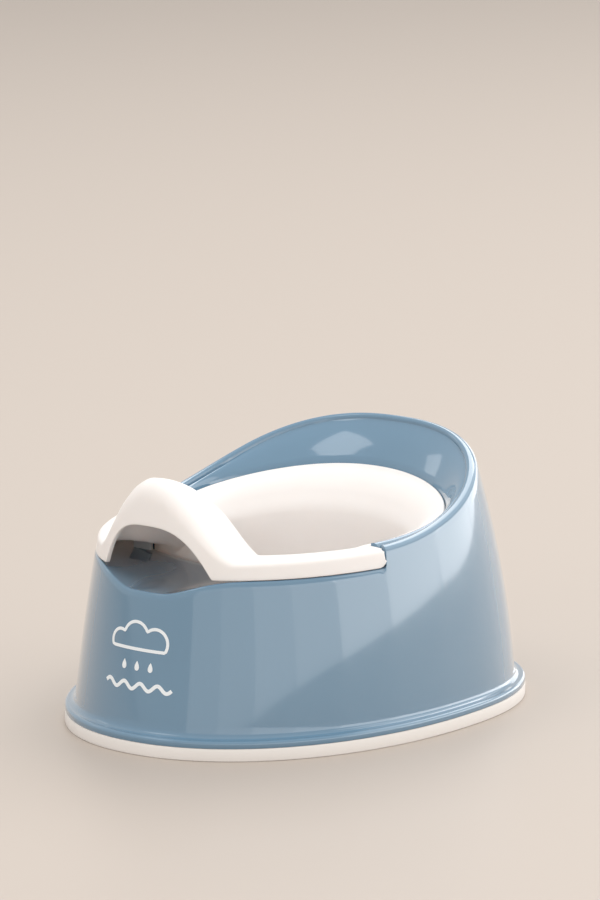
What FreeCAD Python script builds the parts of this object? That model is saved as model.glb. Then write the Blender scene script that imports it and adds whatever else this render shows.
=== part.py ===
import FreeCAD, Part
import math
import os
import Sketcher

# Toddler's potty: a hollow outer shell with a backrest, a grip strip under its rim, and an
# inner potty (bowl, seat ring and splash guard in one piece) that lifts straight up.
# Millimetres. +Z up, origin on the floor under the middle of the base, front towards -Y.

DIMENSIONS = {
    # base outline: two half superellipses that meet at the widest section
    "base_length": 280,
    "base_width": 222,
    "widest_y": 19,
    "nose_power": 2.1,
    "back_power": 2.4,
    # heights
    "strip_height": 7,
    "rim_top": 11,
    "ledge_height": 94,
    "step_height": 105.5,
    "back_height": 145.6,
    # wall: inset from the base outline = rim_inset + draft * rise + curve * rise^2
    "rim_inset": 5.5,
    "front_draft": 0.155,
    "side_draft": 0.065,
    "side_curve": 0.00075,
    "back_draft": 0.085,
    "back_curve": 0.00095,
    "shell_wall": 2.5,
    # top edge of the shell, seen from the side
    "step_y": -27,
    "rise_radius": 230,
    "rise_slope": 25,
    # seat well
    "lip_width": 4.8,
    "well_half_width": 81.6,
    "well_back_y": 83.5,
    "well_back_power": 2.05,
    "back_lip_y": 102.6,
    # front deck: a long shallow cylinder, tilted up towards the bowl
    "deck_height": 85.3,
    "deck_dish_radius": 90,
    "deck_dish_length": 110,
    "deck_dish_lead": 40,
    "deck_tilt": 3,
    # grip strip
    "strip_width": 6,
    # inner potty
    "potty_wall": 2.5,
    "potty_clearance": 0.5,
    "seat_rise": 18.5,
    "seat_rise_power": 2.3,
    "hood_height": 145.5,
    "hood_power": 1.7,
    "arch_height": 120.8,
    "arch_half_width": 36.5,
    "arch_power": 2.9,
    "bowl_front_y": -54,
    "bowl_back_y": 68,
    "bowl_half_width": 70,
    "bowl_floor": 20,
    "bowl_front_power": 4.5,
    "bowl_gap": 5,
    "rest_gap": 0.5,
    "tab_width": 12,
    "tab_thickness": 2,
    "tab_inner_x": 49,
    "tab_front_y": -64,
}

doc = FreeCAD.newDocument("potty_chair")
sheet = doc.addObject("Spreadsheet::Sheet", "Dimensions")
for row, (alias, value) in enumerate(DIMENSIONS.items(), start=1):
    sheet.set("A%d" % row, alias)
    sheet.set("B%d" % row, str(value))
    sheet.setAlias("B%d" % row, alias)
doc.recompute()

RING_POINTS = 56

# room left outside and above the shell by the forms that cut or trim it
MARGIN = 30


def dim(alias):
    return float(sheet.get(alias))


# ---------------------------------------------------------------- outlines and heights


def superellipse(turn, front_y, back_y, half_width, front_power=None, back_power=None):
    """Point of an egg outline at a turn from the back (0) through +X (pi/2) to the nose (pi)."""
    side = math.sin(turn)
    along = math.cos(turn)
    if along > 0:
        power = back_power or dim("back_power")
        reach = back_y - dim("widest_y")
    else:
        power = front_power or dim("nose_power")
        reach = dim("widest_y") - front_y
    x = half_width * math.copysign(abs(side) ** (2 / power), side)
    y = dim("widest_y") + reach * math.copysign(abs(along) ** (2 / power), along)
    return x, y


def wall_sizes(z, inset=0.0):
    """Front, back and half width of the outer wall at a height, moved in by an inset."""
    rise = z - dim("rim_top")
    base = dim("rim_inset") + inset
    front = base + dim("front_draft") * rise
    side = base + dim("side_draft") * rise + dim("side_curve") * rise ** 2
    back = base + dim("back_draft") * rise + dim("back_curve") * rise ** 2
    half_length = dim("base_length") / 2
    return front - half_length, half_length - back, dim("base_width") / 2 - side


def ridge_height(y):
    """Height of the shell's top edge behind the step: an arc that runs into a straight slope."""
    slope = math.radians(dim("rise_slope"))
    radius = dim("rise_radius")
    run = dim("step_y") - dim("back_lip_y")
    drop = dim("step_height") - dim("back_height")
    above_slope = drop * math.cos(slope) - run * math.sin(slope)
    start = slope - math.acos(1 - above_slope / radius)
    centre_y = dim("step_y") - radius * math.sin(start)
    centre_z = dim("step_height") + radius * math.cos(start)
    if y > centre_y + radius * math.sin(slope):
        return dim("back_height") + (y - dim("back_lip_y")) * math.tan(slope)
    y = max(y, dim("step_y"))
    return centre_z - math.sqrt(radius ** 2 - (y - centre_y) ** 2)


def seat_height(y):
    """Height of the seat's outer edge: level beside the step, rising to the back."""
    along = max(y - dim("step_y"), 0) / (dim("well_back_y") - dim("step_y"))
    return dim("step_height") - 1 + dim("seat_rise") * along ** dim("seat_rise_power")


def turns():
    return [2 * math.pi * i / RING_POINTS for i in range(RING_POINTS)]


def closed_wire(points):
    curve = Part.BSplineCurve()
    curve.interpolate(Points=points, PeriodicFlag=True)
    return Part.Wire(curve.toShape())


def add_shape(name, shape):
    feature = doc.addObject("Part::Feature", name)
    feature.Shape = shape
    return feature


def add_outline(name, front_y, back_y, half_width, z, front_power=None, back_power=None):
    """Level egg outline, kept as a section of its own."""
    points = []
    for turn in turns():
        x, y = superellipse(turn, front_y, back_y, half_width, front_power, back_power)
        points.append(FreeCAD.Vector(x, y, z))
    return add_shape(name, closed_wire(points))


def add_loft(name, sections, ruled=False):
    loft = doc.addObject("Part::Loft", name)
    loft.Sections = sections
    loft.Solid = True
    loft.Ruled = ruled
    return loft


def add_wall_form(name, levels, inset):
    sections = []
    for index, z in enumerate(levels):
        sections.append(add_outline("%s_level_%d" % (name, index), *wall_sizes(z, inset), z))
    return add_loft(name, sections)


def add_prism(name, outline, bottom, height):
    """Extrusion of a level outline; bottom and height are expressions on the sheet."""
    prism = doc.addObject("Part::Extrusion", name)
    prism.Base = outline
    prism.DirMode = "Custom"
    prism.Dir = FreeCAD.Vector(0, 0, 1)
    prism.Solid = True
    prism.setExpression("LengthFwd", height)
    prism.setExpression("Placement.Base.z", bottom)
    return prism


def add_cut(name, base, tool):
    cut = doc.addObject("Part::Cut", name)
    cut.Base = base
    cut.Tool = tool
    return cut


def add_fusion(name, shapes):
    fusion = doc.addObject("Part::MultiFuse", name)
    fusion.Shapes = shapes
    return fusion


# ---------------------------------------------------------------- side profile


def add_side_profile():
    """Sketch in the YZ plane round the space above the shell: ledge, step, arc and slope."""
    sketch = doc.addObject("Sketcher::SketchObject", "side_profile")
    sketch.Placement.Rotation = FreeCAD.Rotation(0.5, 0.5, 0.5, 0.5)
    far = dim("base_length") / 2 + MARGIN
    top = dim("back_height") + 2 * MARGIN
    ledge, step_y, step_z = dim("ledge_height"), dim("step_y"), dim("step_height")
    slope = math.radians(dim("rise_slope"))
    end_z = dim("back_height") + (far - dim("back_lip_y")) * math.tan(slope)
    radius = dim("rise_radius")
    tangent_y = dim("back_lip_y") / 2
    corners = [(-far, top), (-far, ledge), (step_y, ledge), (step_y, step_z)]
    back = [(tangent_y, ridge_height(tangent_y)), (far, end_z), (far, top), (-far, top)]
    v = [FreeCAD.Vector(y, z, 0) for y, z in corners]
    w = [FreeCAD.Vector(y, z, 0) for y, z in back]
    left = sketch.addGeometry(Part.LineSegment(v[0], v[1]))
    floor = sketch.addGeometry(Part.LineSegment(v[1], v[2]))
    step = sketch.addGeometry(Part.LineSegment(v[2], v[3]))
    middle_y = (step_y + tangent_y) / 2
    middle = FreeCAD.Vector(middle_y, ridge_height(middle_y), 0)
    arc = sketch.addGeometry(Part.Arc(v[3], middle, w[0]))
    line = sketch.addGeometry(Part.LineSegment(w[0], w[1]))
    right = sketch.addGeometry(Part.LineSegment(w[1], w[2]))
    roof = sketch.addGeometry(Part.LineSegment(w[2], w[3]))
    joint = Sketcher.Constraint
    # the arc is stored counter-clockwise, so point 1 is its start beside the step
    sketch.addConstraint([
        joint("Coincident", left, 2, floor, 1),
        joint("Coincident", floor, 2, step, 1),
        joint("Coincident", step, 2, arc, 1),
        joint("Tangent", arc, 2, line, 1),
        joint("Coincident", line, 2, right, 1),
        joint("Coincident", right, 2, roof, 1),
        joint("Coincident", roof, 2, left, 1),
        joint("Vertical", left),
        joint("Horizontal", floor),
        joint("Vertical", step),
        joint("Vertical", right),
        joint("Horizontal", roof),
    ])
    sizes = [
        ("far_front", joint("DistanceX", left, 1, -1, 1, far), None),
        ("far_back", joint("DistanceX", -1, 1, right, 1, far), None),
        ("top", joint("DistanceY", -1, 1, roof, 1, top), None),
        ("ledge", joint("DistanceY", -1, 1, floor, 1, ledge), "Dimensions.ledge_height"),
        ("step", joint("DistanceX", step, 2, -1, 1, -step_y), "-Dimensions.step_y"),
        ("corner", joint("DistanceY", -1, 1, step, 2, step_z), "Dimensions.step_height"),
        ("bend", joint("Radius", arc, radius), "Dimensions.rise_radius"),
        ("end", joint("DistanceY", -1, 1, line, 2, end_z),
         "Dimensions.back_height + (%g - Dimensions.back_lip_y)"
         " * tan(Dimensions.rise_slope * 1deg)" % far),
        ("slope", joint("Angle", line, slope), "Dimensions.rise_slope * 1deg"),
    ]
    for name, constraint, expression in sizes:
        index = sketch.addConstraint(constraint)
        sketch.renameConstraint(index, name)
        if expression:
            sketch.setExpression("Constraints." + name, expression)
    return sketch


def add_space_above(name, profile):
    """The side profile swept across the full width."""
    space = doc.addObject("Part::Extrusion", name)
    space.Base = profile
    space.DirMode = "Normal"
    space.Symmetric = True
    space.Solid = True
    space.setExpression("LengthFwd", "Dimensions.base_width * 1.5")
    return space


# ---------------------------------------------------------------- outer shell


def well_front_y():
    return wall_sizes(dim("ledge_height"), dim("lip_width"))[0]


def add_well(name, grow):
    """Space inside the backrest: straight up from the ledge, then flaring to the lip."""
    half = dim("well_half_width") + grow
    back_y = dim("well_back_y") + grow
    front_y = well_front_y() - grow
    rings = [[], [], [], []]
    top = dim("back_height") + MARGIN
    for turn in turns():
        x, y = superellipse(turn, front_y, back_y, half, back_power=dim("well_back_power"))
        rings[0].append(FreeCAD.Vector(x, y, dim("ledge_height") - grow))
        rings[1].append(FreeCAD.Vector(x, y, seat_height(y) + 1))
        lip_z = dim("step_height")
        for _ in range(12):
            sizes = wall_sizes(lip_z, dim("lip_width") - grow)
            x, y = superellipse(turn, *sizes)
            lip_z = ridge_height(y)
        rings[2].append(FreeCAD.Vector(x, y, lip_z + 3))
        rings[3].append(FreeCAD.Vector(x, y, top))
    sections = []
    for index, points in enumerate(rings):
        sections.append(add_shape("%s_ring_%d" % (name, index), closed_wire(points)))
    return add_loft(name, sections, ruled=True)


def add_deck_dish(name, grow):
    """Tilted cylinder that hollows the front deck; the length ahead of the nose is its lead."""
    dish = doc.addObject("Part::Cylinder", name)
    dish.setExpression("Radius", "Dimensions.deck_dish_radius + %g" % grow)
    dish.setExpression("Height", "Dimensions.deck_dish_length")
    tilt = math.radians(dim("deck_tilt"))
    nose_y = wall_sizes(dim("deck_height"))[0]
    axis_z = dim("deck_height") + dim("deck_dish_radius")
    lead = dim("deck_dish_lead")
    dish.Placement.Base = FreeCAD.Vector(0, nose_y - lead, axis_z - lead * math.tan(tilt))
    dish.Placement.Rotation = FreeCAD.Rotation(FreeCAD.Vector(1, 0, 0), -90 + dim("deck_tilt"))
    return dish


def build_outer_shell():
    wall = dim("shell_wall")
    ledge, top = dim("ledge_height"), dim("back_height") + MARGIN / 3
    upper_levels = [ledge / 2, ledge, (ledge + top) / 2, top]
    wall_form = add_wall_form("wall_form", [dim("rim_top") - 2] + upper_levels, 0)
    half_length = dim("base_length") / 2
    base = add_outline("base_outline", -half_length, half_length, dim("base_width") / 2, 0)
    rim = add_prism("rim", base, "Dimensions.strip_height",
                    "Dimensions.rim_top - Dimensions.strip_height")
    blank = add_fusion("shell_blank", [wall_form, rim])
    profile = add_side_profile()
    above = add_space_above("space_above", profile)
    trimmed = add_cut("shell_trimmed", blank, above)
    hollowed = add_cut("shell_with_well", trimmed, add_well("well", 0))
    dished = add_cut("shell_with_deck", hollowed, add_deck_dish("deck_dish", 0))
    gap = dim("bowl_gap")
    mouth = add_outline("opening_outline", dim("bowl_front_y") - dim("potty_wall") - gap,
                        dim("bowl_back_y") + dim("potty_wall") + gap,
                        dim("bowl_half_width") + dim("potty_wall") + gap, 0,
                        dim("bowl_front_power"))
    opening = add_prism("bowl_opening", mouth, "Dimensions.ledge_height - %d" % MARGIN,
                        "%d" % (2 * MARGIN))
    opened = add_cut("shell_with_opening", dished, opening)
    inner_form = add_wall_form("inner_form", [0] + upper_levels, wall)
    above_inside = add_space_above("space_above_inside", profile)
    above_inside.Placement.Base = FreeCAD.Vector(0, wall, -wall)
    cavity = add_cut("cavity_trimmed", inner_form, above_inside)
    cavity = add_cut("cavity_round_well", cavity, add_well("well_outside", wall))
    cavity = add_cut("cavity", cavity, add_deck_dish("deck_underside", wall))
    return add_cut("outer_shell", opened, cavity)


# ---------------------------------------------------------------- grip strip


def build_grip_strip():
    half_length = dim("base_length") / 2
    width = dim("strip_width")
    outer = add_outline("strip_outer", -half_length, half_length, dim("base_width") / 2, 0)
    inner = add_outline("strip_inner", width - half_length, half_length - width,
                        dim("base_width") / 2 - width, 0)
    block = add_prism("strip_block", outer, "0", "Dimensions.strip_height")
    hole = add_prism("strip_hole", inner, "-1", "Dimensions.strip_height + 2")
    return add_cut("grip_strip", block, hole)


# ---------------------------------------------------------------- inner potty


def hump(x, half_width):
    """Splash guard's rise across the nose: 1 in the middle, 0 from the half width outwards."""
    reach = min(abs(x) / half_width, 1)
    return (1 - reach ** 2) ** dim("hood_power")


def potty_rings():
    """Closed rings of the potty's upper side, from the skirt's lower edge in to the bowl floor.

    Each row: front y, back y, half width, roundness of the front, depth below the seat's edge,
    depth below the splash guard's crest, half width of the splash guard's hump.
    """
    ledge = dim("ledge_height") + dim("rest_gap")
    front, back, half = wall_sizes(ledge)
    bowl_front = dim("bowl_front_y")
    bowl_back = dim("bowl_back_y")
    bowl_half = dim("bowl_half_width")
    nose = dim("nose_power")
    flat = dim("bowl_front_power")
    rows = [
        (front + 1.4, back - 1, half - 0.8, nose, 4.2, 9, 46),
        (front + 4, back - 3, half - 2.6, nose, 1.1, 2.6, 46),
        (front + 9, back - 8, half - 6, nose, 0, 0, 46),
        (front + 18, back - 26, half - 11, nose, 1.4, 2.2, 43),
        (front + 30, back - 36, half - 16, nose, 2.6, 6.2, 40),
        (front + 43, back - 43, half - 20, 2.2, 4.4, 12.5, 37),
        (bowl_front - 10, bowl_back - 2, bowl_half - 2, 2.6, 8.7, 24, 35),
        (bowl_front - 1, bowl_back - 8, bowl_half - 6, 3.6, 17, 38, 33),
    ]
    rings = [[]]
    for turn in turns():
        x, y = superellipse(turn, front + 0.8, back, half)
        z = ledge
        if y < 0 and abs(x) < dim("arch_half_width"):
            reach = abs(x) / dim("arch_half_width")
            z += (dim("arch_height") - ledge) * (1 - reach ** dim("arch_power"))
        rings[0].append(FreeCAD.Vector(x, y, z))
    for front_y, back_y, half_width, power, depth, drop, hump_half in rows:
        ring = []
        for turn in turns():
            x, y = superellipse(turn, front_y, back_y, half_width, power)
            z = seat_height(y) - depth
            if y < 0:
                z += (dim("hood_height") - drop - z) * hump(x, hump_half)
            ring.append(FreeCAD.Vector(x, y, z))
        rings.append(ring)
    # bowl wall and floor: inset from the bowl's top edge, height above the floor
    for inset, rise in ((5, 34), (11, 9), (16, 2), (26, 0)):
        sizes = (bowl_front + inset - 4, bowl_back - inset - 4, bowl_half - inset - 2)
        ring = []
        for turn in turns():
            x, y = superellipse(turn, *sizes, flat)
            ring.append(FreeCAD.Vector(x, y, dim("bowl_floor") + rise))
        rings.append(ring)
    return rings


def offset_rings(rings, distance):
    """The same rings moved along the surface normal, towards the underside."""
    moved = []
    count = len(rings[0])
    for k, ring in enumerate(rings):
        before = rings[max(k - 1, 0)]
        after = rings[min(k + 1, len(rings) - 1)]
        moved_ring = []
        for i in range(count):
            around = ring[(i + 1) % count] - ring[i - 1]
            inward = after[i] - before[i]
            normal = around.cross(inward).normalize()
            moved_ring.append(ring[i] + normal * distance)
        moved.append(moved_ring)
    floor_z = rings[-1][0].z - distance
    moved[-1] = [FreeCAD.Vector(p.x, p.y, floor_z) for p in rings[-1]]
    for i, point in enumerate(moved[0]):
        moved[0][i] = FreeCAD.Vector(point.x, point.y, rings[0][i].z)
    return moved


def add_tab(name, left):
    """Upright tab under the side of the splash guard, just above the ledge."""
    tab = doc.addObject("Part::Box", name)
    tab.setExpression("Length", "Dimensions.tab_width")
    tab.setExpression("Width", "Dimensions.tab_thickness")
    tab.setExpression("Height", "Dimensions.bowl_gap + Dimensions.potty_wall")
    tab.setExpression("Placement.Base.x", left)
    tab.setExpression("Placement.Base.y", "Dimensions.tab_front_y")
    tab.setExpression("Placement.Base.z", "Dimensions.ledge_height + Dimensions.rest_gap")
    return tab


def build_inner_potty():
    upper = potty_rings()
    lower = offset_rings(upper, dim("potty_wall"))
    rings = upper[::-1] + lower
    sections = []
    for index, points in enumerate(rings):
        sections.append(add_shape("potty_ring_%d" % index, closed_wire(points)))
    form = add_loft("potty_form", sections, ruled=True)
    clearance = dim("potty_clearance")
    seat = add_outline("seat_outline", well_front_y() + clearance, dim("well_back_y") - clearance,
                       dim("well_half_width") - clearance, 0, back_power=dim("well_back_power"))
    room_height = "Dimensions.back_height + %d" % MARGIN
    inside = add_prism("seat_prism", seat, "0", room_height)
    ahead = doc.addObject("Part::Box", "ahead_of_step")
    ahead.setExpression("Length", "Dimensions.base_width")
    ahead.setExpression("Width", "Dimensions.base_length / 2 + Dimensions.step_y"
                        " - Dimensions.potty_clearance")
    ahead.setExpression("Height", room_height)
    ahead.setExpression("Placement.Base.x", "-Dimensions.base_width / 2")
    ahead.setExpression("Placement.Base.y", "-Dimensions.base_length / 2")
    room = add_fusion("potty_room", [inside, ahead])
    moulding = doc.addObject("Part::Common", "potty_moulding")
    moulding.Base = form
    moulding.Tool = room
    tabs = [
        add_tab("tab_right", "Dimensions.tab_inner_x"),
        add_tab("tab_left", "-Dimensions.tab_inner_x - Dimensions.tab_width"),
    ]
    return add_fusion("inner_potty", [moulding] + tabs)


# ---------------------------------------------------------------- build and write


def main():
    parts = {
        "outer_shell": build_outer_shell(),
        "grip_strip": build_grip_strip(),
        "inner_potty": build_inner_potty(),
    }
    doc.recompute()
    for feature in doc.Objects:
        for state in feature.State:
            if state in ("Invalid", "Error"):
                raise RuntimeError("%s is %s" % (feature.Name, state))
    os.makedirs("parts", exist_ok=True)
    for label, feature in parts.items():
        feature.Label = label
        shape = feature.Shape
        if shape.isNull() or not shape.isValid():
            raise RuntimeError("%s has no valid shape" % label)
        box = shape.BoundBox
        print("%s: %d solid, %.0f mm3, %.1f x %.1f x %.1f mm" % (
            label, len(shape.Solids), shape.Volume, box.XLength, box.YLength, box.ZLength))
        shape.exportStep("parts/%s.step" % label)


main()
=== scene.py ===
import math

import bpy
import numpy as np
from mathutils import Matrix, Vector


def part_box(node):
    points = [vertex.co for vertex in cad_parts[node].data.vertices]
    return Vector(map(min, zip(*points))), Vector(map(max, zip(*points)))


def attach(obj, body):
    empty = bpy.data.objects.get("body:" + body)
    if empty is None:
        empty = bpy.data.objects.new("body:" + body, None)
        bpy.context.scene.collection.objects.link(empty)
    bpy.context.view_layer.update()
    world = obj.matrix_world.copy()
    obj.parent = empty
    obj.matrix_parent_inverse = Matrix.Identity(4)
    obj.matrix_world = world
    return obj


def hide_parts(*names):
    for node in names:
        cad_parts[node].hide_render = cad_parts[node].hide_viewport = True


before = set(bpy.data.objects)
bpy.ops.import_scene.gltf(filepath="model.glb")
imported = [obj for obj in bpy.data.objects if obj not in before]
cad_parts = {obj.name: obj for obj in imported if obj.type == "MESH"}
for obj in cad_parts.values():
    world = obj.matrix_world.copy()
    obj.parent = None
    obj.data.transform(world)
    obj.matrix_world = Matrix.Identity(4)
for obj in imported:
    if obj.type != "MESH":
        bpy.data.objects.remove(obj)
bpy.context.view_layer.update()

MM = 0.001

# ---------------------------------------------------------------- sizes, in millimetres
# The overall sizes come from the frame; the rest are the design's own details.

STRIP_LOW, STRIP_HIGH = (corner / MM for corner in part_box("grip_strip"))
POTTY_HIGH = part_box("inner_potty")[1] / MM

HALF_LENGTH = STRIP_HIGH.y
HALF_WIDTH = STRIP_HIGH.x
WIDEST_Y = 19
NOSE_POWER = 2.1
BACK_POWER = 2.4

RIM_BOTTOM = STRIP_HIGH.z
RIM_TOP = RIM_BOTTOM + 4
RIM_INSET = 5.5
RIM_ROUND = 1.8
FOOT_ROUND = 3.4
FRONT_DRAFT = 0.155
SIDE_DRAFT, SIDE_CURVE = 0.065, 0.00075
BACK_DRAFT, BACK_CURVE = 0.085, 0.00095
SHELL_WALL = 2.2

LEDGE = 94
LEDGE_ROUND = 1.4
STEP_Y, STEP_Z, STEP_ROUND, STEP_FACE = -27.0, 105.5, 5.0, 0.6
BACK_LIP_Y, BACK_HEIGHT = 102.6, 145.6
RISE_RADIUS = 230
RISE_SLOPE = math.radians(25)
LIP_WIDTH, WELL_INSET = 6.2, 4.8
WELL_HALF, WELL_BACK, WELL_POWER = 81.6, 83.5, 2.02
DECK_DROP_FRONT, DECK_DROP_BACK, DECK_HOLLOW = 8.7, 5.4, 0.9
DECK_FLAT, DECK_EDGE, DECK_SPREAD = 9, 46, 34
OPENING_HALF, OPENING_FRONT, OPENING_BACK = 77.5, -61.5, 75.5

SEAT_DROP = 1
SEAT_RISE, SEAT_CURVE = 17.2, 2.3
POTTY_WALL = 2.2
GAP = 0.5
BOWL_HALF, BOWL_FRONT, BOWL_BACK, BOWL_FLOOR = 70, -54, 68, 20
OPENING_POWER, BOWL_POWER = 4.5, 4.5
FLANGE_INSET, FLANGE_ROUND, SEAT_ROUND = 1.4, 2.8, 1.2
HOOD_TOP = POTTY_HIGH.z
HOOD_HALF, HOOD_POWER = 46, 1.7
ARCH_TOP, ARCH_HALF, ARCH_POWER = 120.8, 36.5, 2.9
TAB_WIDTH, TAB_THICKNESS, TAB_INNER_X, TAB_FRONT_Y = 12, 2, 43, -66
TAB_BELOW_LEDGE, TAB_ABOVE_LEDGE = 1.6, 6.6

PRINT_PROUD = 0.12
CLOUD_BASE = 54.6
# x, z and radius of each disc
CLOUD_DISCS = ((-14, 57.5, 6.2), (-3, 60.4, 8.6), (10, 58.6, 7.8))

TURNS = 480

# camera azimuth is counted from the nose towards +X; lengths are in metres
CAMERA_AZIMUTH = 38.05
CAMERA_TILT = 11.27
CAMERA_DEPTH = 2.838
CAMERA_LENS = 204.4
# where the middle of the base stands in the picture, as a share of its height
BASE_RIGHT, BASE_UP = -0.01435, -0.28077
LIGHT_TARGET = Vector((0, 0, 0.08))


# ---------------------------------------------------------------- outlines and heights


def smoothstep(value, low, high):
    t = np.clip((value - low) / (high - low), 0, 1)
    return t * t * (3 - 2 * t)


def spaced_turns():
    """Turns round the object from the back (0) through +X to the nose (pi), closer together
    at the step on each side."""
    even = np.linspace(0, 2 * math.pi, TURNS, endpoint=False)
    step = math.acos((STEP_Y - WIDEST_Y) / (HALF_LENGTH + WIDEST_Y))
    fine = np.linspace(-0.05, 0.03, 25) + step
    return np.unique(np.concatenate([even, fine, 2 * math.pi - fine]))


TURN = spaced_turns()


def outline(front, back, half, front_power=NOSE_POWER, back_power=BACK_POWER):
    """Egg outline: two half superellipses that meet at the widest section."""
    side, along = np.sin(TURN), np.cos(TURN)
    power = np.where(along > 0, back_power, front_power)
    reach = np.where(along > 0, back - WIDEST_Y, WIDEST_Y - front)
    x = half * np.sign(side) * np.abs(side) ** (2 / power)
    y = WIDEST_Y + reach * np.sign(along) * np.abs(along) ** (2 / power)
    return x, y


def wall_sizes(z, inset=0.0):
    """Front, back and half width of the outer wall at a height, moved in by an inset."""
    rise = np.maximum(z - RIM_TOP, 0)
    base = RIM_INSET + inset
    front = base + FRONT_DRAFT * rise
    side = base + SIDE_DRAFT * rise + SIDE_CURVE * rise ** 2
    back = base + BACK_DRAFT * rise + BACK_CURVE * rise ** 2
    return front - HALF_LENGTH, HALF_LENGTH - back, HALF_WIDTH - side


def ridge_height(y):
    """Top edge of the backrest: an arc from the step that runs into a straight slope."""
    run, drop = STEP_Y - BACK_LIP_Y, STEP_Z - BACK_HEIGHT
    above_slope = drop * math.cos(RISE_SLOPE) - run * math.sin(RISE_SLOPE)
    start = RISE_SLOPE - math.acos(1 - above_slope / RISE_RADIUS)
    centre_y = STEP_Y - RISE_RADIUS * math.sin(start)
    centre_z = STEP_Z + RISE_RADIUS * math.cos(start)
    along = np.clip(y, STEP_Y, centre_y + RISE_RADIUS * math.sin(RISE_SLOPE))
    arc = centre_z - np.sqrt(RISE_RADIUS ** 2 - (along - centre_y) ** 2)
    return arc + np.maximum(y - along, 0) * math.tan(RISE_SLOPE)


def seat_height(y):
    """Outer edge of the seat: level beside the step, rising to the back."""
    along = np.clip((y - STEP_Y) / (WELL_BACK - STEP_Y), 0, 2)
    return STEP_Z - SEAT_DROP + SEAT_RISE * along ** SEAT_CURVE


def ledge_height(x, y):
    """Ledge under the seat, with the front deck dished between the splash guard's legs."""
    nose_y = wall_sizes(LEDGE)[0]
    back = np.clip((y - nose_y) / (OPENING_FRONT - nose_y), 0, 1)
    drop = DECK_DROP_FRONT + (DECK_DROP_BACK - DECK_DROP_FRONT) * back
    drop = drop + DECK_HOLLOW * np.sin(np.pi * back) ** 2
    middle = 1 - smoothstep(np.abs(x), DECK_FLAT, DECK_EDGE + DECK_SPREAD * back ** 1.5)
    return LEDGE - drop * middle * (y < 0)


def foot_rise(y):
    """Rise of the ledge in the round foot of the step."""
    foot = np.clip(y - (STEP_Y - STEP_ROUND - STEP_FACE), 0, STEP_ROUND)
    return STEP_ROUND - np.sqrt(STEP_ROUND ** 2 - foot ** 2)


def step_share(y):
    """0 on the ledge, 1 on the backrest: a round foot, then straight up."""
    upright = (STEP_Z - LEDGE - STEP_ROUND) * smoothstep(y, STEP_Y - STEP_FACE, STEP_Y)
    return (foot_rise(y) + upright) / (STEP_Z - LEDGE)


def top_height(x, y):
    """Top edge of the shell: the ledge in front of the step, the backrest behind it."""
    share = step_share(y)
    return ledge_height(x, y) * (1 - share) + ridge_height(y) * share


def settle_on_wall():
    """Position along y and height of the top edge, where it lies on the outer wall."""
    z = np.full_like(TURN, STEP_Z)
    for _ in range(30):
        x, y = outline(*wall_sizes(z))
        z = top_height(x, y)
    return y, z


# ---------------------------------------------------------------- mesh helpers


def ring(x, y, z):
    """Points of one closed ring; the height may be one number or one for each point."""
    return np.stack([x, y, np.broadcast_to(z, x.shape)], -1)


def level_ring(z, inset=0.0):
    return ring(*outline(*wall_sizes(z, inset)), z)


def base_ring(inset, z):
    return ring(*outline(inset - HALF_LENGTH, HALF_LENGTH - inset, HALF_WIDTH - inset), z)


def mesh_from_rings(name, rings, cap_end=False, close=False):
    """Object skinned over closed rings of equal length, in millimetres."""
    count = len(rings[0])
    points = np.concatenate(rings) * MM
    faces = []
    last = len(rings) if close else len(rings) - 1
    for k in range(last):
        a, b = k * count, (k + 1) % len(rings) * count
        for i in range(count):
            j = (i + 1) % count
            faces.append((a + j, a + i, b + i, b + j))
    vertices = [tuple(p) for p in points]
    if cap_end:
        base = (len(rings) - 1) * count
        vertices.append(tuple(rings[-1].mean(0) * MM))
        centre = len(vertices) - 1
        for i in range(count):
            faces.append((base + (i + 1) % count, base + i, centre))
    mesh = bpy.data.meshes.new(name)
    mesh.from_pydata(vertices, [], faces)
    mesh.validate()
    mesh.polygons.foreach_set("use_smooth", [True] * len(mesh.polygons))
    obj = bpy.data.objects.new(name, mesh)
    bpy.context.scene.collection.objects.link(obj)
    return obj


def thicken(obj, thickness):
    """Give an open moulding its wall, inwards from the drawn face, and soften its edges."""
    solid = obj.modifiers.new("wall", "SOLIDIFY")
    solid.thickness = thickness * MM
    solid.offset = -1
    solid.use_rim = True
    soften = obj.modifiers.new("soft_edges", "BEVEL")
    soften.width = 0.8 * MM
    soften.segments = 2
    soften.limit_method = "ANGLE"
    soften.angle_limit = math.radians(50)


def between(a, b, share):
    """Ring part of the way from one ring to another; the share may differ along the ring."""
    share = np.asarray(share)
    if share.ndim == 1:
        share = share[:, None]
    return a + (b - a) * share


# ---------------------------------------------------------------- outer shell


def rim_rings():
    """From the rim's lower edge, over its rounded shoulder, to the foot of the wall."""
    rings = [base_ring(0.5, RIM_BOTTOM), base_ring(0.12, RIM_BOTTOM + 0.15)]
    rings.append(base_ring(0, RIM_BOTTOM + 0.5))
    for angle in np.linspace(0, math.pi / 2, 7):
        inset = RIM_ROUND * (1 - math.cos(angle))
        rings.append(base_ring(inset, RIM_TOP - RIM_ROUND * (1 - math.sin(angle))))
    for angle in np.linspace(0, math.pi / 2, 8):
        inset = RIM_INSET - FOOT_ROUND * (1 - math.sin(angle))
        z = RIM_TOP + FOOT_ROUND * (1 - math.cos(angle))
        rings.append(between(base_ring(inset, z), level_ring(z), 1 - math.cos(angle)))
    return rings


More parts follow.
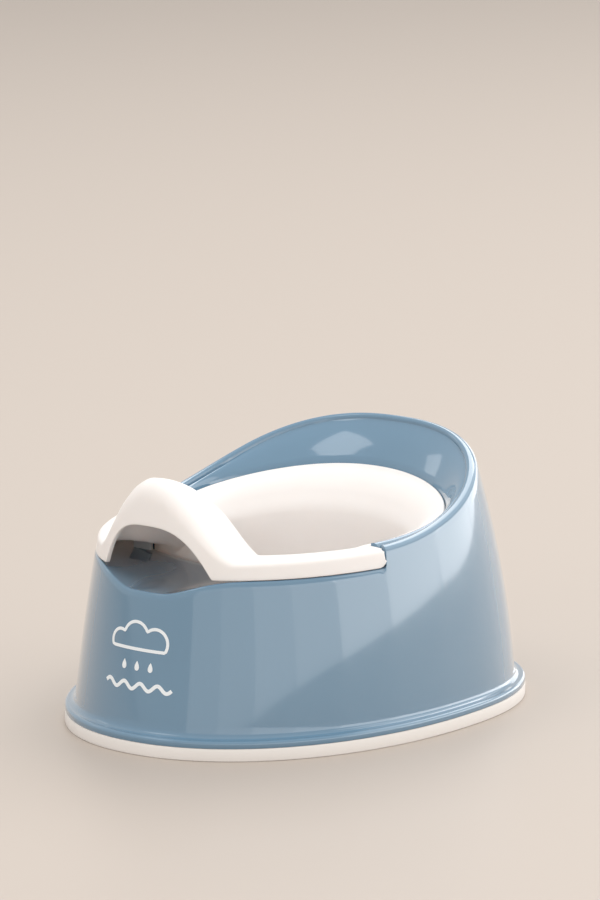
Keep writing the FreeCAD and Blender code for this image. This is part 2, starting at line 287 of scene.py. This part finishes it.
def lip_rings(top, share):
    """Over the lip of the backrest, or round the small edge of the ledge."""
    lip = LIP_WIDTH / 2
    steps = 8
    rings = []
    for index in range(1, steps + 1):
        angle = math.pi * index / steps
        back = level_ring(top - lip + lip * math.sin(angle), lip * (1 - math.cos(angle)))
        quarter = min(angle, math.pi / 2)
        inset = LEDGE_ROUND * (1 - math.cos(quarter)) + 0.5 * max(0, index - steps / 2)
        front = level_ring(top, inset)
        below = LEDGE_ROUND * (1 - math.sin(quarter))
        front[:, 2] = ledge_height(front[:, 0], front[:, 1]) - below
        rings.append(between(front, back, share))
    return rings


def on_ledge(a, b, part):
    """Ring part of the way from one ring to another, laid on the ledge."""
    laid = between(a, b, part)
    laid[:, 2] = ledge_height(laid[:, 0], laid[:, 1])
    return laid


def well_rings(inner, share):
    """Down the funnel inside the backrest to the ledge, then in to the opening."""
    well = outline(wall_sizes(LEDGE, WELL_INSET)[0], WELL_BACK, WELL_HALF, back_power=WELL_POWER)
    well_top = ring(*well, seat_height(well[1]) + 1)
    flat = ring(*well, ledge_height(*well))
    bulge = 1.5
    rings = []
    for part in np.linspace(0, 1, 10)[1:]:
        funnel = between(inner, well_top, part)
        funnel[:, 2] += bulge * math.sin(math.pi * part) * share
        rings.append(between(on_ledge(inner, flat, part * 0.8), funnel, share))
    # share of the way across the ledge, and the well's height above the ledge
    for part, above in ((0.86, 1.5), (0.9, 0.4)):
        well_foot = ring(*well, LEDGE + above)
        rings.append(between(on_ledge(inner, flat, part), well_foot, share))
    mouth = outline(OPENING_FRONT, OPENING_BACK, OPENING_HALF, OPENING_POWER)
    mouth_ring = ring(*mouth, ledge_height(*mouth))
    for part in np.linspace(0, 1, 14):
        rings.append(on_ledge(flat, mouth_ring, part))
    return rings


def shell_rings():
    """Up the wall from the rim, over the top edge and in to the opening in the ledge."""
    rings = rim_rings()
    foot_z = RIM_TOP + FOOT_ROUND
    y, top = settle_on_wall()
    share = step_share(y)
    shoulder = top - (LEDGE_ROUND + (LIP_WIDTH / 2 - LEDGE_ROUND) * share)
    for part in np.linspace(0, 1, 27)[1:]:
        rings.append(level_ring(foot_z + (shoulder - foot_z) * part))
    rings += lip_rings(top, share)
    return rings + well_rings(rings[-1], share)


def build_shell():
    shell = mesh_from_rings("shell_moulding", shell_rings())
    thicken(shell, SHELL_WALL)
    return shell


# ---------------------------------------------------------------- grip strip


def build_strip():
    width, low, high = 6.0, STRIP_LOW.z, STRIP_HIGH.z
    corner = 0.6
    rings = []
    for centre_inset, centre_z, first in (
        (corner, high - corner, 90),
        (corner, low + corner, 180),
        (width - corner, low + corner, 270),
        (width - corner, high - corner, 0),
    ):
        for turned in (0, 30, 60, 90):
            angle = math.radians(first + turned)
            inset = centre_inset + corner * math.cos(angle)
            rings.append(base_ring(inset, centre_z + corner * math.sin(angle)))
    return mesh_from_rings("grip_strip_band", rings, close=True)


# ---------------------------------------------------------------- inner potty


def hump(x, half):
    """1 in the middle of the nose, 0 from the half width outwards."""
    return (1 - np.minimum(np.abs(x) / half, 1) ** 2) ** HOOD_POWER


def nose_height(seat, y, nose, x, half=HOOD_HALF):
    """Seat height with the splash guard's hump added in the front half."""
    return np.where(y < 0, seat + (nose - seat) * hump(x, half), seat)


def edge_arc(inset, start, size):
    """Insets and heights of a rounded edge that starts upright and ends level."""
    angles = np.linspace(0, math.pi / 2, 5)
    return [(inset + size * (1 - math.cos(a)), start + size * math.sin(a)) for a in angles]


def front_rings():
    """Rings of the inner potty in front of the step, where it reaches the shell's wall."""
    ledge = LEDGE + GAP
    front, back, half = wall_sizes(ledge)
    x, y = outline(front + 0.8, back, half)
    reach = np.minimum(np.abs(x) / ARCH_HALF, 1)
    arch = (ARCH_TOP - ledge) * (1 - reach ** ARCH_POWER)
    z = ledge + foot_rise(y) + np.where(y < 0, arch, 0)
    rings = [ring(x, y, z)]
    # at the nose the edge is three times as deep and four times as tall as at the sides
    for inset, below in edge_arc(FLANGE_INSET, -FLANGE_ROUND, FLANGE_ROUND):
        x, y = outline(front + 3 * inset - 2 * FLANGE_INSET, back - inset, half - inset)
        nose = HOOD_TOP + 4 * below
        rings.append(ring(x, y, nose_height(seat_height(y) + below, y, nose, x)))
    # front y, back y, half width, power, depth below the seat's edge, depth below the
    # crest, half width of the hump
    dish = (
        (front + 17, back - 26, half - 10, 2.1, 0.2, 1.6, 43),
        (front + 25, back - 34, half - 15, 2.1, 1.0, 4.2, 38),
        (front + 37, back - 42, half - 19, 2.2, 3.0, 9.8, 34),
        (BOWL_FRONT - 10, BOWL_BACK - 2, BOWL_HALF - 2, 2.8, 7.5, 25, 30),
        (BOWL_FRONT - 1, BOWL_BACK - 8, BOWL_HALF - 6, 4.6, 15.5, 39, 28),
    )
    for front_y, back_y, half_x, power, depth, drop, hump_half in dish:
        x, y = outline(front_y, back_y, half_x, power)
        seat = seat_height(y) - depth
        rings.append(ring(x, y, nose_height(seat, y, HOOD_TOP - drop, x, hump_half)))
    return rings


def back_rings():
    """Rings of the inner potty behind the step, inside the shell's well."""
    front = wall_sizes(LEDGE, WELL_INSET)[0] + GAP
    back, half = WELL_BACK - GAP, WELL_HALF - GAP
    x, y = outline(front, back, half, back_power=WELL_POWER)
    rings = [ring(x, y, LEDGE + GAP)]
    for inset, below in edge_arc(0, -SEAT_ROUND, SEAT_ROUND):
        x, y = outline(front + inset, back - inset, half - inset, back_power=WELL_POWER)
        rings.append(ring(x, y, seat_height(y) + below))
    # inset from the seat's edge and depth below it
    dish = ((5, 0.6), (9, 2.0), (13, 4.6), (17, 9.0), (22, 18))
    for inset, depth in dish:
        x, y = outline(front + inset, back - inset, half - inset * 0.85, back_power=WELL_POWER)
        rings.append(ring(x, y, seat_height(y) - depth))
    return rings


def bowl_rings():
    """Down the wall of the bowl and in over its floor."""
    rings = []
    # inset from the bowl's mouth and height above its floor
    walls = ((5, 34), (7, 24), (11, 9), (16, 2), (26, 0))
    for inset, z in walls:
        sizes = (BOWL_FRONT + inset - 4, BOWL_BACK - inset - 4, BOWL_HALF - inset - 2)
        rings.append(ring(*outline(*sizes, BOWL_POWER), BOWL_FLOOR + z))
    return rings


def smooth_between(keys, spans):
    """Rings through the key rings that never swing past them: a monotone cubic in each
    coordinate, spaced by the mean distance between the keys."""
    keys = np.array(keys)
    gaps = np.linalg.norm(np.diff(keys, axis=0), axis=2).mean(1)[:, None, None]
    slopes = np.diff(keys, axis=0) / gaps
    same_way = slopes[:-1] * slopes[1:] > 0
    sums = np.where(same_way, slopes[:-1] + slopes[1:], 1)
    inner = np.where(same_way, 2 * slopes[:-1] * slopes[1:] / sums, 0)
    tangents = np.concatenate([slopes[:1], inner, slopes[-1:]])
    rings = []
    for k, count in enumerate(spans):
        a, b = keys[k], keys[k + 1]
        ta, tb = tangents[k] * gaps[k], tangents[k + 1] * gaps[k]
        for t in np.linspace(0, 1, count, endpoint=False):
            rings.append(
                a * (1 - t) ** 2 * (1 + 2 * t)
                + ta * t * (1 - t) ** 2
                + b * t ** 2 * (3 - 2 * t)
                - tb * t ** 2 * (1 - t)
            )
    rings.append(keys[-1])
    return rings


def potty_rings():
    """Side face, rounded edge, dish and bowl, with the step's narrower seat behind it."""
    flange_end = STEP_Y - 0.7
    seat = []
    for index, (front, back) in enumerate(zip(front_rings(), back_rings())):
        # sharp along the rim, ever softer down the dish
        reach = 0.2 + 3 * max(0, index - 4)
        behind = smoothstep(front[:, 1], flange_end - reach, flange_end + reach)
        seat.append(between(front, back, behind))
    side = [between(seat[0], seat[1], part) for part in np.linspace(0, 1, 9)[:-1]]
    edge = seat[1:5]
    dish = smooth_between(seat[5:] + bowl_rings(), [5] * 5 + [6, 5, 5, 4, 4])
    return side + edge + dish


def build_potty():
    potty = mesh_from_rings("potty_moulding", potty_rings(), cap_end=True)
    thicken(potty, POTTY_WALL)
    return potty


def build_tab(name, side):
    """Upright tab under the side of the splash guard, seen through the arch."""
    bpy.ops.mesh.primitive_cube_add(size=1)
    tab = bpy.context.object
    tab.name = name
    low, high = LEDGE - TAB_BELOW_LEDGE, LEDGE + TAB_ABOVE_LEDGE
    tab.dimensions = (TAB_WIDTH * MM, TAB_THICKNESS * MM, (high - low) * MM)
    middle_x = side * (TAB_INNER_X + TAB_WIDTH / 2)
    middle_y = TAB_FRONT_Y + TAB_THICKNESS / 2
    tab.location = (middle_x * MM, middle_y * MM, (low + high) / 2 * MM)
    soften = tab.modifiers.new("soft_edges", "BEVEL")
    soften.width = 0.5 * MM
    soften.segments = 2
    return tab


# ---------------------------------------------------------------- emblem on the nose


def wall_point(x, z, proud):
    """Point on the shell's front wall, moved out by a little."""
    front, back, half = wall_sizes(z)
    reach = (1 - (abs(x) / half) ** NOSE_POWER) ** (1 / NOSE_POWER)
    return x * MM, (WIDEST_Y - (WIDEST_Y - front) * reach - proud) * MM, z * MM


def cloud_line():
    """Outline of a cloud: the edge of three overlapping discs on a flat base."""
    middle_x, middle_z = -1, 58
    points = []
    for turn in np.linspace(0, 2 * math.pi, 160, endpoint=False):
        dx, dz = math.cos(turn), math.sin(turn)
        reach = 0
        for x, z, radius in CLOUD_DISCS:
            along = (x - middle_x) * dx + (z - middle_z) * dz
            off = (x - middle_x) * dz - (z - middle_z) * dx
            if abs(off) < radius:
                reach = max(reach, along + math.sqrt(radius ** 2 - off ** 2))
        if dz < 0:
            reach = min(reach, (middle_z - CLOUD_BASE) / -dz)
        points.append((middle_x + reach * dx, middle_z + reach * dz))
    return points


def stroke(vertices, faces, line, width, closed=False):
    """Flat band of even width along a line drawn on the front wall."""
    line = np.array(line)
    if closed:
        along = np.roll(line, -1, 0) - np.roll(line, 1, 0)
    else:
        along = np.gradient(line, axis=0)
    along /= np.linalg.norm(along, axis=1)[:, None]
    across = np.stack([-along[:, 1], along[:, 0]], -1) * width / 2
    start = len(vertices)
    for left, right in zip(line + across, line - across):
        vertices.append(wall_point(*left, PRINT_PROUD))
        vertices.append(wall_point(*right, PRINT_PROUD))
    count = len(line)
    for i in range(count if closed else count - 1):
        a, b = start + 2 * i, start + 2 * ((i + 1) % count)
        faces.append((a, a + 1, b + 1, b))


def drop_blot(vertices, faces, x, z, half, height):
    """Filled water drop with its tip up."""
    start = len(vertices)
    vertices.append(wall_point(x, z, PRINT_PROUD))
    turns = np.linspace(0, 2 * math.pi, 28, endpoint=False)
    for turn in turns:
        side = half * 1.3 * math.sin(turn) * math.sin(turn / 2)
        vertices.append(wall_point(x - side, z + height / 2 * math.cos(turn), PRINT_PROUD))
    for i in range(len(turns)):
        faces.append((start, start + 1 + i, start + 1 + (i + 1) % len(turns)))


def build_emblem():
    """Generic printed mark: a cloud with three drops over a wave."""
    vertices, faces = [], []
    stroke(vertices, faces, cloud_line(), width=1.7, closed=True)
    for x in (-9.5, -0.5, 8.5):
        drop_blot(vertices, faces, x, z=45.8, half=1.5, height=5.2)
    crests, swing, length, wave_z = 4, 1.7, 45, 35
    along = np.linspace(0, 1, 120)
    wave = wave_z + swing * np.sin(along * crests * 2 * math.pi)
    line = np.stack([-length / 2 + length * along, wave], -1)
    stroke(vertices, faces, line, width=2.0)
    mesh = bpy.data.meshes.new("nose_emblem")
    mesh.from_pydata(vertices, [], faces)
    mesh.validate()
    emblem = bpy.data.objects.new("nose_emblem", mesh)
    bpy.context.scene.collection.objects.link(emblem)
    film = emblem.modifiers.new("film", "SOLIDIFY")
    film.thickness = 2 * PRINT_PROUD * MM
    film.offset = -1
    return emblem


# ---------------------------------------------------------------- materials


def linear(red, green, blue):
    """Scene-linear colour from display values 0 to 255."""
    def channel(value):
        value = value / 255
        return value / 12.92 if value <= 0.04045 else ((value + 0.055) / 1.055) ** 2.4
    return (channel(red), channel(green), channel(blue), 1)


def plastic(name, colour, roughness, spread, grain, bump, coat=0.0, subsurface=0.0):
    """Moulded plastic: faint mottling, uneven gloss and a fine moulded skin."""
    material = bpy.data.materials.new(name)
    material.use_nodes = True
    nodes, links = material.node_tree.nodes, material.node_tree.links
    shader = nodes["Principled BSDF"]
    shader.inputs["IOR"].default_value = 1.52
    shader.inputs["Coat Weight"].default_value = coat
    shader.inputs["Coat Roughness"].default_value = 0.05
    shader.inputs["Coat IOR"].default_value = 1.75
    shader.inputs["Subsurface Weight"].default_value = subsurface
    shader.inputs["Subsurface Radius"].default_value = (1, 0.9, 0.85)
    shader.inputs["Subsurface Scale"].default_value = 0.005
    place = nodes.new("ShaderNodeTexCoord")
    mottle = nodes.new("ShaderNodeTexNoise")
    mottle.inputs["Scale"].default_value = 14
    mottle.inputs["Detail"].default_value = 4
    links.new(place.outputs["Object"], mottle.inputs["Vector"])
    tint = nodes.new("ShaderNodeValToRGB")
    tint.color_ramp.elements[0].position = 0.3
    tint.color_ramp.elements[1].position = 0.7
    tint.color_ramp.elements[0].color = tuple(c * (1 - spread) for c in colour[:3]) + (1,)
    tint.color_ramp.elements[1].color = tuple(min(c * (1 + spread), 1) for c in colour[:3]) + (1,)
    links.new(mottle.outputs["Fac"], tint.inputs["Fac"])
    links.new(tint.outputs["Color"], shader.inputs["Base Color"])
    gloss = nodes.new("ShaderNodeMapRange")
    gloss.inputs["To Min"].default_value = roughness * 0.85
    gloss.inputs["To Max"].default_value = roughness * 1.2
    links.new(mottle.outputs["Fac"], gloss.inputs["Value"])
    links.new(gloss.outputs["Result"], shader.inputs["Roughness"])
    skin = nodes.new("ShaderNodeTexNoise")
    skin.inputs["Scale"].default_value = grain
    skin.inputs["Detail"].default_value = 3
    links.new(place.outputs["Object"], skin.inputs["Vector"])
    relief = nodes.new("ShaderNodeBump")
    relief.inputs["Strength"].default_value = bump
    relief.inputs["Distance"].default_value = 0.0002
    links.new(skin.outputs["Fac"], relief.inputs["Height"])
    links.new(relief.outputs["Normal"], shader.inputs["Normal"])
    return material


def paint(obj, material):
    obj.data.materials.append(material)


# ---------------------------------------------------------------- room, light and camera


def build_floor():
    bpy.ops.mesh.primitive_plane_add(size=9, location=(0, 0, 0))
    floor = bpy.context.object
    floor.name = "floor"
    material = bpy.data.materials.new("floor")
    material.use_nodes = True
    shader = material.node_tree.nodes["Principled BSDF"]
    shader.inputs["Base Color"].default_value = linear(176, 166, 157)
    shader.inputs["Roughness"].default_value = 0.45
    floor.data.materials.append(material)


def area_light(name, azimuth, elevation, distance, size, brightness, mirrored=True):
    """Rectangular softbox aimed at the object; azimuth is counted from the camera, size is
    width and height, and brightness is the radiance of its face."""
    turn = math.radians(CAMERA_AZIMUTH + azimuth)
    rise = math.radians(elevation)
    lamp = bpy.data.lights.new(name, "AREA")
    lamp.shape = "RECTANGLE"
    lamp.size, lamp.size_y = size
    lamp.energy = brightness * math.pi * size[0] * size[1]
    obj = bpy.data.objects.new(name, lamp)
    direction = Vector((
        math.sin(turn) * math.cos(rise), -math.cos(turn) * math.cos(rise), math.sin(rise)))
    obj.location = LIGHT_TARGET + direction * distance
    obj.rotation_euler = (-direction).to_track_quat("-Z", "Y").to_euler()
    obj.visible_glossy = mirrored
    bpy.context.scene.collection.objects.link(obj)


def build_camera():
    data = bpy.data.cameras.new("camera")
    data.lens = CAMERA_LENS
    data.sensor_width = 36
    camera = bpy.data.objects.new("camera", data)
    camera.rotation_euler = (math.radians(90 - CAMERA_TILT), 0, math.radians(CAMERA_AZIMUTH))
    view_height = CAMERA_DEPTH * data.sensor_width / data.lens
    turn = camera.rotation_euler.to_matrix()
    right, up, back = turn.col
    camera.location = (
        back * CAMERA_DEPTH - right * BASE_RIGHT * view_height - up * BASE_UP * view_height)
    bpy.context.scene.collection.objects.link(camera)
    bpy.context.scene.camera = camera


def build_light():
    world = bpy.data.worlds.new("world")
    world.use_nodes = True
    background = world.node_tree.nodes["Background"]
    background.inputs["Color"].default_value = linear(236, 232, 228)
    background.inputs["Strength"].default_value = 0.92
    bpy.context.scene.world = world
    # a low wall of windows from in front of the object round to behind its right side
    first_window, window_spacing = -21, 22
    windows = (0.35, 0.5, 0.75, 0.95, 1.55, 2.2, 2.5, 2.3, 1.2)
    for index, brightness in enumerate(windows):
        azimuth = first_window + window_spacing * index
        area_light("window_%d" % index, azimuth, 9, 4.2, (1.64, 1.5), brightness)
    area_light("sky_right", 108, 40, 3.4, (4.6, 1.6), 0.8)
    area_light("sky_back", 163, 48, 3.4, (2.4, 1.8), 2.4)
    area_light("overhead", 0, 86, 3.0, (3.4, 3.4), 1.8, mirrored=False)
    area_light("window_left", -76, 54, 2.6, (0.9, 0.6), 1.2)
    area_light("window_far_left", -123, 32, 2.6, (0.4, 0.5), 0.8)
    # lifts the shade under the handle without showing up in the gloss
    area_light("fill", -42, 16, 2.4, (1.0, 0.6), 5.0, mirrored=False)
    bpy.context.scene.view_settings.view_transform = "Standard"


# ---------------------------------------------------------------- assembly

shell_blue = plastic(
    "shell_gloss", linear(86, 122, 147),
    roughness=0.12, spread=0.02, grain=900, bump=0.03, coat=1.0)
potty_white = plastic(
    "potty_satin", linear(229, 224, 221),
    roughness=0.38, spread=0.008, grain=1400, bump=0.06, subsurface=0.5)
strip_white = plastic(
    "strip_matt", linear(224, 220, 216),
    roughness=0.62, spread=0.012, grain=2600, bump=0.25)
print_white = plastic(
    "print_ink", linear(222, 227, 230),
    roughness=0.3, spread=0.02, grain=1800, bump=0.05, coat=0.2)

shell = build_shell()
paint(shell, shell_blue)
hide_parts("outer_shell")
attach(shell, "shell")

strip = build_strip()
paint(strip, strip_white)
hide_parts("grip_strip")
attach(strip, "shell")

potty = build_potty()
paint(potty, potty_white)
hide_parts("inner_potty")
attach(potty, "inner_potty")

for side, name in ((1, "tab_right"), (-1, "tab_left")):
    tab = build_tab(name, side)
    paint(tab, potty_white)
    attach(tab, "inner_potty")

emblem = build_emblem()
paint(emblem, print_white)
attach(emblem, "shell")

build_floor()
build_light()
build_camera()
